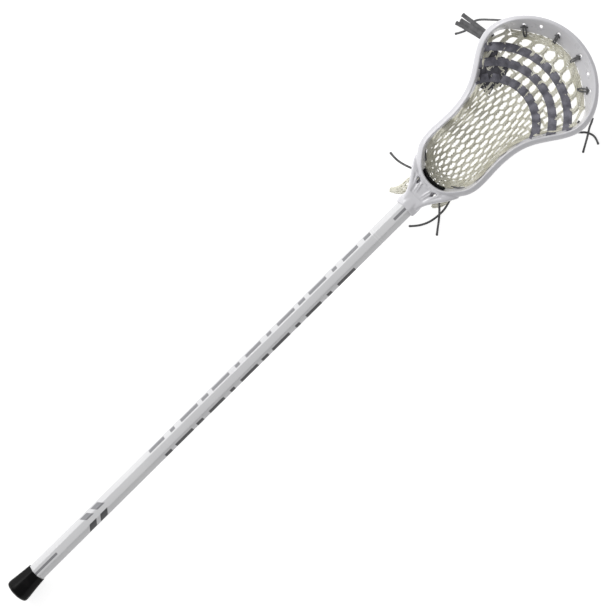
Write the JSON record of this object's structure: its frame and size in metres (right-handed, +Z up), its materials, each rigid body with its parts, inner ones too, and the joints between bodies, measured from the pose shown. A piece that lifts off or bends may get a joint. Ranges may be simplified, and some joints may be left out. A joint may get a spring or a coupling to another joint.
{
  "type": "lacrosse stick",
  "caption": "Straight eight-sided tube shaft with a rubber end cap and an open moulded head that holds a laced mesh pocket.",
  "frame": {"origin": "under the middle of the stick's length, on the plane that the head's lower rails touch as the stick lies on its back", "axes": "+X along the shaft from the butt cap to the scoop, +Y to the left of someone looking along the stick, +Z up, out of the face of the head"},
  "size_m": [1.045, 0.2468, 0.057],
  "materials": {
    "painted_tube": "satin white paint",
    "cap_rubber": "satin black rubber",
    "screw_steel": "zinc plated",
    "head_plastic": "moulded, satin gloss",
    "foam": "closed cell foam",
    "mesh_cord": "knitted cord mesh",
    "lace_weave": "flat woven lace",
    "lace_dark": "flat woven lace, waxed",
    "string": "braided round string"
  },
  "bodies": {
    "stick": {"shaft": "painted_tube", "head": "head_plastic", "ball_stop": "foam", "pocket_mesh": "mesh_cord", "mesh_tail_left": "mesh_cord", "mesh_tail_right": "mesh_cord", "shooting_lace_top": "lace_weave", "shooting_lace_middle": "lace_weave", "shooting_lace_low": "lace_weave", "top_string": "string", "sidewall_string_left": "string", "sidewall_string_right": "string", "bottom_string": "string", "string_knots": "string", "throat_tail_left": "string", "throat_tail_right_a": "string", "throat_tail_right_b": "string", "scoop_tail_right_a": "string", "scoop_tail_right_b": "string", "scoop_tail_left": "string", "lace_tail_top": "lace_dark", "lace_tail_middle": "lace_dark", "lace_tail_low": "lace_dark"},
    "cap": {"butt_cap": "cap_rubber"},
    "screw": {"head_screw": "screw_steel"}
  },
  "joints": [
    {"name": "cap_pull", "type": "slide", "parent": "stick", "child": "cap", "axis": [-1, 0, 0], "range_m": [0, 0.045]},
    {"name": "screw_back_out", "type": "slide", "parent": "stick", "child": "screw", "axis": [0, 0, -1], "range_m": [0, 0.03]}
  ]
}
